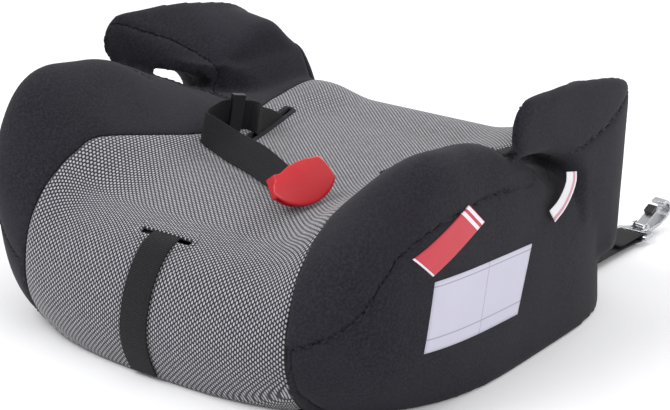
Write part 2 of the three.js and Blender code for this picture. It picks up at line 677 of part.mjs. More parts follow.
function hookPieces() {
  const place = (u, v) => [hookY + u, hookBarZ + v];
  const jaw = [[10, 0], [24, -0.6], [40, 2.2], [51, 6.4], [56.5, 12], [55.5, 18], [50, 21.5], [44.5, 19.8]];
  const pivot = [18.5, 4.6];
  const turned = (geometry) => geometry.translate(-anchorX, -(hookY + 10), 0).rotateZ(hookYaw)
    .translate(anchorX, hookY + 10, 0);
  const along = (outline, half) => turned(
    alongX(outline.map(([u, v]) => place(u, v)), anchorX - half, anchorX + half),
  );
  const bore = solid(turned(barX(1.5, anchorX - 10, anchorX + 10, ...place(...pivot))));
  const cheeks = [-1, 1].map((side) => turned(alongX(
    [[13, -0.5], [24, -0.5], [24, 4], [21, 7.4], [16, 7.4], [13, 4]].map(([u, v]) => place(u, v)),
    anchorX + side * 6.1 - 0.9, anchorX + side * 6.1 + 0.9,
  )));
  const plateZ = [hookBarZ - 1.9, hookBarZ + 1.9];
  const arms = [-1, 1].map((side) => box(
    [anchorX + side * 15.5 - 1.6, hookY - 1, plateZ[0]], [anchorX + side * 15.5 + 1.6, hookY + 13, plateZ[1]],
  ));
  const shoulder = alongZ([[-17, 9], [17, 9], [17, 12], [9, 19], [-9, 19], [-17, 12]].map(
    ([x, u]) => [anchorX + x, hookY + u]), plateZ[0], plateZ[1]);
  const body = union([barX(1.9, anchorX - 17, anchorX + 17, hookY, hookBarZ), ...arms, shoulder,
    along(band(jaw, hookSteel), 7), ...cheeks].map(solid)).subtract(bore);
  const gateLine = [[18.5, 4.6], [24, 7.4], [34, 13.2], [41.5, 17]];
  const knuckle = turned(barX(2.5, anchorX - 4.8, anchorX + 4.8, ...place(...pivot)));
  const gate = union([knuckle, along(band(gateLine, 1.6), 4.8)].map(solid)).subtract(bore);
  const tab = along([[30, 12.4], [36, 15.9], [38, 19.4], [35, 20.4], [28, 16]], 4.2);
  return {
    hook: [body, finishes.steel],
    hook_gate: [gate.subtract(solid(tab.clone())), finishes.steel],
    hook_tab: [solid(tab).subtract(solid(along(band(gateLine, 1.6 + 2 * fit), 6))), finishes.blackPlastic],
    hook_pin: [solid(turned(barX(1.2, anchorX - 7.4, anchorX + 7.4, ...place(...pivot)))), finishes.steel],
  };
}
for (const [name, [piece, finish]] of Object.entries(hookPieces())) {
  add(`right_${name}`, largest(piece), ...finish);
  add(`left_${name}`, mirrored(geometryOf(largest(piece))), ...finish);
}

// ---------- belt-positioning strap on the seat ----------
// Each station is [lower edge, upper edge]. The strap comes up out of the left slit standing on edge,
// folds back at the slit's front end, turns round and crosses the seat to its clip.
const beltStrapRise = [
  [[-86.5, 88, 84], [-88.5, 96, 108]], [[-81.5, 68, 101], [-83, 74, 125.5]],
  [[-76, 46, 112], [-77.8, 53, 136.5]], [[-70, 26, 120], [-73, 34, 144]],
];
const beltStrapTurn = [
  [[-66.5, 17.5, 125.5], [-69.6, 27, 149]], [[-69.5, 16.5, 127], [-69.5, 22, 151.5]],
  [[-74, 14, 128.6], [-71.4, 16.3, 153.2]], [[-79.3, 4, 130], [-76.7, 6.3, 154.6]],
  [[-84.6, -6, 131.2], [-82, -3.7, 155.8]], [[-86.3, -17.6, 129.3], [-84, -16, 153.5]],
  [[-85, -27.5, 129], [-82, -25.5, 153]], [[-81.5, -34.5, 128], [-78, -31.5, 152]],
];
const beltStrapRun = [
  [[-75.5, -38.5, 127], [-69.5, -33, 150.5]], [[-61.5, -43, 124.8], [-55, -33.5, 146.5]],
  [[-42, -52, 124.2], [-37.5, -36, 143]], [[-10.5, -65, 124], [-5.5, -48, 142]],
  [[28, -83.5, 123.5], [28, -62, 136.5]], [[38, -91, 125.5], [38, -68.5, 137.2]],
  [[46.5, -96.5, 127.5], [46.5, -73.5, 138.5]],
];
const clipCentre = new THREE.Vector3(62, -92, 141);
const clipFrame = new THREE.Matrix4().makeBasis(
  new THREE.Vector3(0.31, 0.95, 0).normalize(),
  new THREE.Vector3(-0.545, 0.178, 0.819).normalize(),
  new THREE.Vector3(0.778, -0.254, 0.573).normalize(),
);
clipFrame.setPosition(clipCentre);
const clipSide = [[-28, 0.5], [-25, 6.5], [-17, 12.2], [-6, 15.6], [8, 16.4], [18, 15], [24, 12.6], [28, -3],
  [22, -10.5],
  [12, -15.2], [0, -17], [-12, -14.8], [-22, -8.6]];

/** A flat plate of the clip: its outline shrunk by a share, between two depths behind the face. */
function clipPlate(share, n0, n1) {
  const outline = clipSide.map(([u, v]) => [u * share, v * share]).reverse();
  return alongZ(outline, n0, n1).applyMatrix4(clipFrame);
}

function addBeltStrap() {
  const strap = ribbon([...beltStrapRise, ...beltStrapTurn, ...beltStrapRun], webbingThickness);
  add('belt_strap', strap, ...finishes.webbing);
  const bridge = box([-22, -8, -13], [-17, 8, -1]).applyMatrix4(clipFrame);
  const clip = union([clipPlate(1, -2.6, 0), clipPlate(0.82, -14, -11.6), bridge].map(solid));
  add('belt_clip', clip, ...finishes.redPlastic);
}
addBeltStrap();

/** A slider round the strap: a flat ring in the strap's own plane, at one station. */
function addSlider() {
  const [low, high] = beltStrapTurn[3].map((point) => new THREE.Vector3(...point));
  const [before, after] = [beltStrapTurn[2], beltStrapTurn[4]].map(
    ([a, b]) => new THREE.Vector3(...a).add(new THREE.Vector3(...b)).multiplyScalar(0.5));
  const up = high.clone().sub(low).normalize();
  const side = after.sub(before).cross(up).normalize();
  const along = up.clone().cross(side).normalize();
  const frame = new THREE.Matrix4().makeBasis(along, up, side).setPosition(low.add(high).multiplyScalar(0.5));
  const ring = solid(box([-5.5, -13.8, -2.8], [5.5, 17.5, 2.8]).applyMatrix4(frame));
  const hole = solid(box([-12, -12.8, -1.8], [12, 13.2, 1.8]).applyMatrix4(frame));
  const window = solid(box([-3.3, -12.6, 0], [3.3, 12.6, 6]).applyMatrix4(frame));
  add('strap_slider', ring.subtract(hole).subtract(window), ...finishes.blackPlastic);
}
addSlider();

part.name = 'booster_seat';
export default part;
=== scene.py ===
"""A child's backless booster seat: the sewn cover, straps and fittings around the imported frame, in metres."""

import math

import bmesh
import bpy
import numpy as np
from mathutils import Matrix, Vector
from mathutils.bvhtree import BVHTree


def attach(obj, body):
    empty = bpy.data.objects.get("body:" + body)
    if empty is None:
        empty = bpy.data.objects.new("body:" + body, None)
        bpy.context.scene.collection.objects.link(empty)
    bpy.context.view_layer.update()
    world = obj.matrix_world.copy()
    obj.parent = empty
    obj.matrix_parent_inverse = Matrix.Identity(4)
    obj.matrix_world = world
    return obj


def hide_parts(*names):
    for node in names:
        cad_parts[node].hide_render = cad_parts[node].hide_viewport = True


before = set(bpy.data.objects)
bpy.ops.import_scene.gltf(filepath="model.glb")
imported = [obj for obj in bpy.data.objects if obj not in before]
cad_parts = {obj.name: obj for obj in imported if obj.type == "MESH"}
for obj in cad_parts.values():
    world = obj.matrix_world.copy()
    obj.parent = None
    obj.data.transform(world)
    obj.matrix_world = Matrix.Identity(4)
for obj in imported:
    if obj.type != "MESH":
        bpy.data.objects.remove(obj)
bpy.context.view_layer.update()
collection = bpy.context.scene.collection

# ---------- the seat's form, the same as the CAD's, in millimetres until a mesh is made ----------
HALF_WIDTH, REAR_DEPTH, FRONT_DEPTH, FLOOR_TUCK, FLARE_HEIGHT = 200, 201, 203, 16, 50
DISH, RIDGE_FOOT, RIDGE_TOP = 9, 84, 197
ARM_EDGE, ARM_FALL, ARM_FALL_START, ARM_FALL_REACH, ARM_LEAN = 13, 24, 194, 18, 0.35
SEAM_PROFILE = [[-210, 130], [-140, 130], [-80, 131], [80, 131], [120, 131], [200, 139]]
RIDGE_PROFILE = [[-210, 176], [-165, 192], [-140, 205], [-115, 207], [-80, 200], [-55, 197], [-30, 190],
                 [-2, 175], [20, 163], [40, 152], [60, 145], [85, 136], [120, 134], [200, 139]]
FRONT_CORNERS = [[0, 2.6], [25, 3.2], [50, 3.7], [80, 4.3], [120, 5.3]]
REAR_CORNERS = [[0, 4.6], [50, 4.2], [80, 4.6], [120, 7]]
ARM_FACE = [[-40, 197], [-22, 191], [0, 182], [30, 167], [60, 153], [90, 148], [210, 146]]
CENTRE_SEAM = [[-215, 127], [-180, 122], [-140, 118], [-120, 118], [-100, 114], [-60, 104], [-20, 94],
               [0, 94], [40, 98], [60, 100], [100, 113], [130, 119], [190, 128]]
SIDE_SEAM = [[-230, 44], [-203, 44], [-199, 50], [-189, 61], [-178, 77], [-171, 91], [-165, 110],
             [-155, 128], [-135, 140], [-105, 146], [-65, 149], [-40, 148], [-14, 144], [10, 140], [22, 146],
             [32, 155], [44, 155], [56, 153], [64, 153], [87, 156], [117, 161], [145, 171], [205, 194]]
SIDE_EDGE = [[-230, 127], [-182, 127], [-150, 140], [-60, 160], [-20, 178], [0, 183], [22, 186],
             [32, 192], [44, 190], [56, 182], [64, 176], [87, 173], [205, 173]]
GUSSET = [[-36, 211], [-22, 207], [-5, 201], [15, 193], [38, 184], [55, 173], [67, 163], [72, 150],
          [67, 140], [58, 133], [56, 139], [44, 148], [30, 154], [14, 159], [0, 162], [-12, 164],
          [-24, 174], [-36, 184]]
REAR_SEAM_Y = 186
STRAP_X, WEB_HALF, ANCHOR_X, HOOK_Y, HOOK_BAR_Z = -4, 12.5, 138, 305, 6.6
SLIT_ENDS = ((67, 11), (87, 90))
SLOT_ENDS = ((-27, 102.5), (19, 102.5))
ARM_CENTRE, FOOT_TUCK = (110, 150), 8
INNER_CREST = [[-40, 24], [20, 27], [60, 27], [85, 15], [105, 4], [150, -11], [190, 8], [210, 12]]
NOSE_RADIUS, NOSE_Y, NOSE_Z = 23, -1, 187.5
NOSE = [(NOSE_Y + NOSE_RADIUS * math.cos(math.radians(a)), NOSE_Z + NOSE_RADIUS * math.sin(math.radians(a)))
        for a in range(95, 266, 34)]
ARM_OUTLINE = [(196, 40), (198, 118), (194, 148), (184, 169), (164, 188), (138, 199), (97, 206), (60, 210.5),
               (28, 211), *NOSE, (26, 160), (44, 154), (60, 147), (70, 138), (76, 126), (77, 100), (80, 40)]


def even_slopes(where, values):
    """The slope at each of a row of values: between its two neighbours, or to the only one."""
    rise, run = np.empty_like(values), np.empty_like(where)
    for out, array in ((rise, values), (run, where)):
        out[1:-1] = array[2:] - array[:-2]
        out[0], out[-1] = array[1] - array[0], array[-1] - array[-2]
    return rise / run.reshape(-1, *[1] * (values.ndim - 1))


def through(points):
    """A smooth function through [x, value] points, for arrays."""
    xs, vs = (np.array(p, float) for p in zip(*points))
    slopes = even_slopes(xs, vs)

    def at(x):
        x = np.clip(x, xs[0], xs[-1])
        i = np.clip(np.searchsorted(xs, x) - 1, 0, len(xs) - 2)
        span = xs[i + 1] - xs[i]
        t = (x - xs[i]) / span
        a, b = slopes[i] * span, slopes[i + 1] * span
        v0, v1 = vs[i], vs[i + 1]
        return v0 + t * a + t * t * (3 * (v1 - v0) - 2 * a - b) + t**3 * (2 * (v0 - v1) + a + b)

    return at


def smooth(low, high, value):
    t = np.clip((value - low) / (high - low), 0, 1)
    return t * t * (3 - 2 * t)


seam_height, ridge_height = through(SEAM_PROFILE), through(RIDGE_PROFILE)
front_power, rear_power = through(FRONT_CORNERS), through(REAR_CORNERS)
face_x, centre_x = through(ARM_FACE), through(CENTRE_SEAM)
inner_crest = through(INNER_CREST)


def top_height(x, y):
    rise = smooth(RIDGE_FOOT, RIDGE_TOP, np.abs(x))
    hollow = DISH * smooth(-200, -120, y) * (1 - smooth(60, 110, np.abs(x)))
    return seam_height(y) - hollow + (ridge_height(y) - seam_height(y)) * rise


def skin_point(angle, reach, lift, inset=0.0):
    """Points of the seat's skin, as an array of x, y, z."""
    along, across = np.sin(angle), np.cos(angle)
    x, y = reach * HALF_WIDTH * across, reach * FRONT_DEPTH * along
    for _ in range(3):
        z = (top_height(x, y) - inset) * lift
        rear_share = smooth(0, 0.5, along)
        power = front_power(z) * (1 - rear_share) + rear_power(z) * rear_share
        low = 1 - np.clip(z, 0, FLARE_HEIGHT) / FLARE_HEIGHT
        depth = np.where(along < 0, FRONT_DEPTH - FLOOR_TUCK * low * low, REAR_DEPTH)
        radius = reach * (np.abs(across) ** power + np.abs(along) ** power) ** (-1 / power)
        x, y = (HALF_WIDTH - inset) * radius * across, (depth - inset) * radius * along
    return np.stack([x, y, z], -1)


def new_object(name, points, faces, material=None):
    """An object from points in millimetres."""
    mesh = bpy.data.meshes.new(name)
    places = [tuple(p) for p in np.asarray(points, float) / 1000]
    mesh.from_pydata(places, [], [tuple(map(int, f)) for f in faces])
    mesh.update()
    obj = bpy.data.objects.new(name, mesh)
    collection.objects.link(obj)
    if material:
        mesh.materials.append(material)
    return obj


def shade_smooth(obj):
    obj.data.polygons.foreach_set("use_smooth", [True] * len(obj.data.polygons))


def face_outwards(obj):
    mesh = bmesh.new()
    mesh.from_mesh(obj.data)
    bmesh.ops.recalc_face_normals(mesh, faces=mesh.faces)
    mesh.to_mesh(obj.data)
    mesh.free()


def grid_faces(rows, columns, start=0, closed=True):
    faces = []
    for row in range(rows - 1):
        for i in range(columns if closed else columns - 1):
            a, b = row * columns + i, row * columns + (i + 1) % columns
            faces.append((start + a, start + b, start + b + columns, start + a + columns))
    return faces


def seat_body():
    """The seat without its arms, as a fine closed mesh."""
    rings, walls, tops = 240, 34, 60
    angle = np.arange(rings) / rings * 2 * math.pi
    power = 9 - 5.6 * smooth(0.4, 0.9, -np.sin(angle))
    middle = 2 ** (-1 / power)
    rows = []
    for share in np.linspace(0, 1, walls, endpoint=False):
        level = share * middle
        rows.append(skin_point(angle, (1 - level**power) ** (1 / power), level))
    for share in np.linspace(1, 0.02, tops):
        level = share * middle
        rows.append(skin_point(angle, level, (1 - level**power) ** (1 / power)))
    points = np.concatenate(rows + [np.array([[0, 0, top_height(0, 0)], [0, 0, 0]])])
    count = len(rows)
    faces = grid_faces(count, rings)
    for i in range(rings):
        j = (i + 1) % rings
        faces.append(((count - 1) * rings + i, (count - 1) * rings + j, count * rings))
        faces.append((j, i, count * rings + 1))
    return points, faces


def closed_curve(points, steps):
    """A closed smooth curve through points, with its first and last corner kept sharp."""
    fine = []
    count = len(points)
    p = np.array(points, float)
    for i in range(count):
        a, b = p[i], p[(i + 1) % count]
        sharp = i >= count - 2 or i == 0
        before, after = p[i - 1], p[(i + 2) % count]
        for t in np.linspace(0, 1, steps, endpoint=False):
            if sharp:
                fine.append(a + (b - a) * t)
            else:
                m0, m1 = (b - before) / 2, (after - a) / 2
                fine.append((2 * t**3 - 3 * t**2 + 1) * a + (t**3 - 2 * t**2 + t) * m0
                            + (3 * t**2 - 2 * t**3) * b + (t**3 - t**2) * m1)
    return np.array(fine)


def drawn_in(outline, distance):
    before = outline - np.roll(outline, 1, 0)
    after = np.roll(outline, -1, 0) - outline
    before /= np.linalg.norm(before, axis=1)[:, None]
    after /= np.linalg.norm(after, axis=1)[:, None]
    along = before + after
    along /= np.linalg.norm(along, axis=1)[:, None]
    reach = distance / np.maximum((along * before).sum(1), 0.5)
    return np.stack([outline[:, 0] - along[:, 1] * reach, outline[:, 1] + along[:, 0] * reach], -1)


def arm(side):
    """One arm as a fine closed mesh; side is 1 for the right and -1 for the left."""
    outline = closed_curve(ARM_OUTLINE, 6)
    count = len(outline)
    caps = np.linspace(0.04, 0.96, 12)
    turns = np.linspace(0, math.pi / 2, 9)
    layers = [(1, 0.0, ARM_EDGE, s) for s in caps]
    layers += [(1, 1 - math.sin(t), ARM_EDGE * (1 - math.cos(t)), 1) for t in turns[::-1]]
    layers += [(-1, 1 - math.sin(t), ARM_EDGE * (1 - math.cos(t)), 1) for t in turns]
    layers += [(-1, 0.0, ARM_EDGE, s) for s in caps[::-1]]
    rows = []
    for sign, rounding, offset, share in layers:
        ring = drawn_in(outline, offset) * share + np.array(ARM_CENTRE) * (1 - share)
        source = outline * share + np.array(ARM_CENTRE) * (1 - share)
        y, z = ring[:, 0], ring[:, 1]
        lean = ARM_LEAN * np.maximum(165 - source[:, 1], 0) * smooth(50, 100, source[:, 0])
        half = (HALF_WIDTH - face_x(y) + (lean if sign > 0 else 0)) / 2
        x = HALF_WIDTH - half - sign * (half - np.minimum(ARM_EDGE, 0.8 * half) * rounding)
        inwards = np.maximum(ARM_FALL_START - x, 0)
        fall = ARM_FALL * (1 - np.exp(-inwards / ARM_FALL_REACH)) * smooth(150, 200, source[:, 1])
        fall += inner_crest(y) * smooth(0, 44, inwards) * smooth(150, 200, source[:, 1])
        x = x - FOOT_TUCK * (1 - smooth(40, 100, source[:, 1]))
        rows.append(np.stack([side * x, y, z - fall], -1))
    points = np.concatenate(rows)
    faces = grid_faces(len(rows), count)
    faces.append(tuple(range(count))[::-1])
    faces.append(tuple(range(len(points) - count, len(points))))
    if side < 0:
        faces = [f[::-1] for f in faces]
    # The rear corners follow the seat's plan.
    angle = np.arctan2(points[:, 1] / REAR_DEPTH, points[:, 0] / HALF_WIDTH)
    limit = skin_point(angle, np.ones(len(points)), np.full(len(points), 0.9))
    share = np.hypot(limit[:, 0], limit[:, 1]) / np.maximum(np.hypot(points[:, 0], points[:, 1]), 1)
    points[:, :2] *= np.minimum(share, 1)[:, None]
    return points, faces


def apply_modifiers(obj):
    graph = bpy.context.evaluated_depsgraph_get()
    mesh = bpy.data.meshes.new_from_object(obj.evaluated_get(graph))
    obj.modifiers.clear()
    old, obj.data = obj.data, mesh
    bpy.data.meshes.remove(old)
    return obj


def remeshed(obj, size):
    modifier = obj.modifiers.new("remesh", "REMESH")
    modifier.mode = "VOXEL"
    modifier.voxel_size = size
    return apply_modifiers(obj)


def relaxed(obj, factor, steps):
    modifier = obj.modifiers.new("relax", "SMOOTH")
    modifier.factor, modifier.iterations = factor, steps
    return apply_modifiers(obj)


SKIN_VOXEL, QUICK_SKIN_VOXEL = 0.0026, 0.004


def whole_skin():
    """Seat and both arms grown into one surface."""
    points, faces = seat_body()
    for side in (1, -1):
        more, extra = arm(side)
        faces += [tuple(i + len(points) for i in f) for f in extra]
        points = np.concatenate([points, more])
    obj = new_object("skin", points, faces)
    remeshed(obj, SKIN_VOXEL)
    return relaxed(obj, 0.5, 6)


# ---------- materials ----------
def material(name, color, roughness, metallic=0.0, **extra):
    made = bpy.data.materials.new(name)
    made.use_nodes = True
    shader = made.node_tree.nodes["Principled BSDF"]
    shader.inputs["Base Color"].default_value = (*[(c / 255) ** 2.2 for c in color], 1)
    shader.inputs["Roughness"].default_value = roughness
    shader.inputs["Metallic"].default_value = metallic
    for key, value in extra.items():
        shader.inputs[key.replace("_", " ")].default_value = value
    return made


class Nodes:
    """Short ways to wire up a material."""

    def __init__(self, made):
        self.tree = made.node_tree
        self.shader = self.tree.nodes["Principled BSDF"]

    def node(self, kind, **values):
        made = self.tree.nodes.new(kind)
        for key, value in values.items():
            setattr(made, key, value)
        return made

    def put(self, value, socket):
        if isinstance(value, (int, float)):
            socket.default_value = value
        else:
            self.tree.links.new(value, socket)

    def math(self, operation, a, b=0.0, clamp=False):
        made = self.node("ShaderNodeMath", operation=operation, use_clamp=clamp)
        self.put(a, made.inputs[0])
        self.put(b, made.inputs[1])
        return made.outputs[0]

    def attribute(self, name):
        return self.node("ShaderNodeAttribute", attribute_name=name)

    def uv(self):
        parts = self.node("ShaderNodeSeparateXYZ")
        self.tree.links.new(self.attribute("weave").outputs["Vector"], parts.inputs[0])
        return parts.outputs[0], parts.outputs[1]

    def object_place(self):
        return self.node("ShaderNodeTexCoord").outputs["Object"]

    def noise(self, scale, detail=3.0, roughness=0.5, vector=None):
        made = self.node("ShaderNodeTexNoise")
        made.inputs["Scale"].default_value = scale
        made.inputs["Detail"].default_value = detail
        made.inputs["Roughness"].default_value = roughness
        self.tree.links.new(vector or self.object_place(), made.inputs["Vector"])
        return made.outputs["Fac"]

    def mix(self, factor, a, b):
        """Mixes two colours, each a tuple of sRGB values or a socket."""
        made = self.node("ShaderNodeMix", data_type="RGBA")
        self.put(factor, made.inputs[0])
        for value, socket in ((a, made.inputs[6]), (b, made.inputs[7])):
            if isinstance(value, tuple):
                socket.default_value = (*[(c / 255) ** 2.2 for c in value], 1)
            else:
                self.tree.links.new(value, socket)
        return made.outputs[2]

    def range(self, value, a, b, to_a=0.0, to_b=1.0):
        made = self.node("ShaderNodeMapRange", interpolation_type="SMOOTHSTEP")
        self.put(value, made.inputs[0])
        for socket, number in zip(made.inputs[1:5], (a, b, to_a, to_b)):
            socket.default_value = number
        return made.outputs[0]

    def color(self, socket):
        self.tree.links.new(socket, self.shader.inputs["Base Color"])

    def rough(self, socket):
        self.tree.links.new(socket, self.shader.inputs["Roughness"])

    def bump(self, height, distance, strength=1.0):
        made = self.node("ShaderNodeBump")
        made.inputs["Distance"].default_value = distance
        made.inputs["Strength"].default_value = strength
        self.tree.links.new(height, made.inputs["Height"])
        self.tree.links.new(made.outputs[0], self.shader.inputs["Normal"])


def seam_crease_shade_and_pulls(n):
    """Painted shade in the crease beside a seam, dark at 0, and the small pulls that its stitches leave, 1 on
    each.
    """
    distance = n.attribute("seam").outputs["Fac"]
    along = n.attribute("seam_along").outputs["Fac"]
    seam_crease_shade = n.range(distance, 0.0, 1.1)
    stitch = n.range(n.math("PINGPONG", along, 1.6), 0.5, 1.3)
    pull = n.math("MULTIPLY", stitch, n.range(distance, 1.2, 3.6, 1.0, 0.0))
    return seam_crease_shade, pull


def knit_material():
    made = material("knit", (40, 38, 44), 0.92, Sheen_Weight=0.05, Sheen_Roughness=0.5,
                    Specular_IOR_Level=0.12)
    n = Nodes(made)
    seam_crease_shade, pull = seam_crease_shade_and_pulls(n)
    patchy = n.noise(16, 4, 0.6)
    tone = n.mix(n.range(patchy, 0.3, 0.75), (31, 30, 34), (39, 38, 43))
    tone = n.mix(n.range(n.noise(520, 3, 0.7), 0.35, 0.7), tone, (45, 44, 50))
    # painted shade: the knit goes near-black within about 1 mm of a seam, where the crease lies in shadow
    n.color(n.mix(seam_crease_shade, (12, 12, 14), tone))
    fine, broad = n.noise(620, 3, 0.7), n.noise(90, 3)
    height = n.math("ADD", n.math("MULTIPLY", fine, 0.5), n.math("MULTIPLY", broad, 0.5))
    n.bump(n.math("SUBTRACT", height, n.math("MULTIPLY", pull, 0.25)), 0.0004, 0.5)
    return made


def weave_material():
    """Light oval dots in a staggered lattice on near-black."""
    made = material("weave", (120, 118, 124), 0.8, Sheen_Weight=0.2, Sheen_Roughness=0.5,
                    Specular_IOR_Level=0.3)
    n = Nodes(made)
    u, v = n.uv()
    column, pitch, dot_width, dot_length = 2.0, 3.8, 0.85, 1.4

    def dots(shift_u, shift_v):
        du = n.math("PINGPONG", n.math("ADD", u, shift_u), column)
        dv = n.math("PINGPONG", n.math("ADD", v, shift_v), pitch / 2)
        oval = n.math("SQRT", n.math("ADD", n.math("POWER", n.math("DIVIDE", du, dot_width), 2.0),
                                     n.math("POWER", n.math("DIVIDE", dv, dot_length), 2.0)))
        return n.range(oval, 0.62, 1.08, 1.0, 0.0)

    dot = n.math("MAXIMUM", dots(0.0, 0.0), dots(column, pitch / 2))
    seam_crease_shade, pull = seam_crease_shade_and_pulls(n)
    fibre = n.noise(700, 3, 0.6)
    light = n.mix(n.range(fibre, 0.3, 0.7), (140, 139, 146), (178, 177, 184))
    dark = n.mix(n.range(fibre, 0.3, 0.7), (24, 23, 27), (38, 37, 41))
    tone = n.mix(dot, dark, light)
    # painted shade: the weave goes near-black within about 1 mm of a seam, where the crease lies in shadow
    n.color(n.mix(seam_crease_shade, (14, 13, 16), tone))
    height = n.math("ADD", n.math("MULTIPLY", dot, 0.8), n.math("MULTIPLY", fibre, 0.25))
    n.bump(n.math("SUBTRACT", height, n.math("MULTIPLY", pull, 0.5)), 0.0007, 0.8)
    return made


def webbing_material():
    made = material("webbing", (30, 29, 31), 0.7, Sheen_Weight=0.03, Specular_IOR_Level=0.2)
    n = Nodes(made)
    u, v = n.uv()
    rib = n.math("SINE", n.math("MULTIPLY", v, 2 * math.pi / 1.5))
    cord = n.math("SINE", n.math("MULTIPLY", u, 2 * math.pi / 1.1))
    edge = n.range(n.math("ABSOLUTE", u), 10.6, 11.4)
    height = n.math("ADD", n.math("MULTIPLY", rib, 0.5), n.math("MULTIPLY", cord, 0.22))
    height = n.math("ADD", height, n.math("MULTIPLY", edge, 0.5))
    shade = n.range(n.math("ADD", rib, n.math("MULTIPLY", n.noise(500, 2), 1.2)), -0.8, 2.0)
    n.color(n.mix(shade, (14, 13, 15), (36, 35, 38)))
    n.bump(height, 0.00045, 0.9)
    return made


def plastic_material(name, color, roughness, coat=0.0, grain=0.0):
    made = material(name, color, roughness, Coat_Weight=coat, Coat_Roughness=0.08)
    n = Nodes(made)
    worn = n.noise(60, 5, 0.6)
    n.rough(n.range(worn, 0.3, 0.75, roughness * 0.85, min(roughness * 1.3, 1)))
    if grain:
        n.bump(n.noise(1400, 3, 0.6), grain, 0.6)
    return made


def steel_material():
    made = material("steel", (186, 187, 190), 0.3, 1.0)
    n = Nodes(made)
    brushed = n.node("ShaderNodeMapping")
    brushed.inputs["Scale"].default_value = (40, 900, 900)
    n.tree.links.new(n.object_place(), brushed.inputs[0])
    lines = n.noise(1.0, 4, 0.6, brushed.outputs[0])
    n.rough(n.range(lines, 0.3, 0.7, 0.2, 0.42))
    n.color(n.mix(n.noise(45, 4), (160, 161, 165), (200, 201, 204)))
    n.bump(lines, 0.00004, 0.5)
    return made


def foam_material():
    made = material("foam", (58, 58, 60), 0.95)
    n = Nodes(made)
    cells = n.node("ShaderNodeTexVoronoi")
    cells.inputs["Scale"].default_value = 700
    n.tree.links.new(n.object_place(), cells.inputs["Vector"])
    n.bump(cells.outputs["Distance"], 0.0006, 0.8)
    return made


def label_material(name, color, stripes):
    """Satin ribbon with stripes: each is (from, to, colour, axis), in the piece's own millimetres."""
    made = material(name, color, 0.55, Sheen_Weight=0.1)
    n = Nodes(made)
    u, v = n.uv()
    tone = n.mix(n.noise(25, 3), color, tuple(max(c - 9, 0) for c in color))
    for low, high, paint, axis in stripes:
        at = u if axis == "u" else v
        inside = n.math("MULTIPLY", n.math("GREATER_THAN", at, low), n.math("LESS_THAN", at, high))
        tone = n.mix(inside, tone, paint)
    n.color(tone)
    threads = [n.math("SINE", n.math("MULTIPLY", axis, 9.0)) for axis in (u, v)]
    n.bump(n.math("ADD", *threads), 0.00012, 0.5)
    return made


KNIT, WEAVE, WEBBING, STEEL, FOAM = (
    knit_material(), weave_material(), webbing_material(), steel_material(), foam_material())
RED = plastic_material("red_plastic", (185, 18, 33), 0.3, coat=0.2)
BLACK = plastic_material("black_plastic", (26, 26, 28), 0.32, grain=0.00003)
SHELL = plastic_material("shell_plastic", (46, 46, 49), 0.5, grain=0.00012)

# ---------- cutting the skin into panels ----------
def distance_to(points, line, closed=False):
    """Distance from 2-D points to a line of points."""
    line = np.array(line, float)
    ends = np.roll(line, -1, 0) if closed else line[1:]
    starts = line if closed else line[:-1]
    best = np.full(len(points), 1e9)
    for a, b in zip(starts, ends):
        ab = b - a
        t = np.clip(((points - a) @ ab) / np.linalg.norm(ab)**2, 0, 1)
        best = np.minimum(best, np.linalg.norm(points - (a + t[:, None] * ab), axis=1))
    return best


def inside_outline(points, line):
    line = np.array(line, float)
    inside = np.zeros(len(points), bool)
    for a, b in zip(line, np.roll(line, -1, 0)):
        crosses = (a[1] > points[:, 1]) != (b[1] > points[:, 1])
        slope = (b[0] - a[0]) / np.where(b[1] == a[1], 1e-9, b[1] - a[1])
        inside ^= crosses & (points[:, 0] < a[0] + slope * (points[:, 1] - a[1]))
    return inside


def straight(points):
    """A function through [x, value] points, straight between them."""
    xs, vs = zip(*points)
    return lambda x: np.interp(x, xs, vs)


side_z, side_x = straight(SIDE_SEAM), straight(SIDE_EDGE)


def seam_fields(p):
    """Signed distances in millimetres, below 0 inside the centre, rear, side and gusset panels."""
    x, y, z = np.abs(p[:, 0]), p[:, 1], p[:, 2]
    centre = x - centre_x(y)
    rear = REAR_SEAM_Y - y
    step, steepest = 2.0, 4
    slope = (side_z(y + step) - side_z(y - step)) / (2 * step)
    over = (z - side_z(y)) / np.sqrt(1 + np.minimum(slope, steepest) ** 2)
    side = np.maximum(over, side_x(y) - x)
    flat = p[:, 1:3]
    near = distance_to(flat, GUSSET, True)
    outline = np.where(inside_outline(flat, GUSSET), -near, near)
    spine = (HALF_WIDTH + face_x(y)) / 2
    gusset = np.maximum(outline, x - spine)
    return centre, rear, side, gusset


SEAM_SNAP = 0.12  # vertices this close to a seam are taken to lie on it


def cut_at(mesh, values_of):
    """Cuts a bmesh along the places where a field is 0."""
    verts = list(mesh.verts)
    values = values_of(np.array([v.co for v in verts]) * 1000)
    values[np.abs(values) < SEAM_SNAP] = 0.0
    value = {v: d for v, d in zip(verts, values)}
    faces = set()
    for edge in list(mesh.edges):
        a, b = edge.verts
        da, db = value[a], value[b]
        if da * db < 0:
            faces.update(edge.link_faces)
            _, v = bmesh.utils.edge_split(edge, a, da / (da - db))
            value[v] = 0.0
        elif da == 0 or db == 0:
            faces.update(edge.link_faces)
    for face in faces:
        if not face.is_valid:
            continue
        on = [v for v in face.verts if value[v] == 0.0]
        for i, a in enumerate(on):
            for b in on[i + 1:]:
                if face.is_valid and a in face.verts and b in face.verts and not any(
                        e.other_vert(a) == b for e in a.link_edges):
                    try:
                        bmesh.utils.face_split(face, a, b)
                    except ValueError:
                        pass
                    break


SLIT_HALF, SLOT_HALF, FAR = 2.6, 1.9, 99


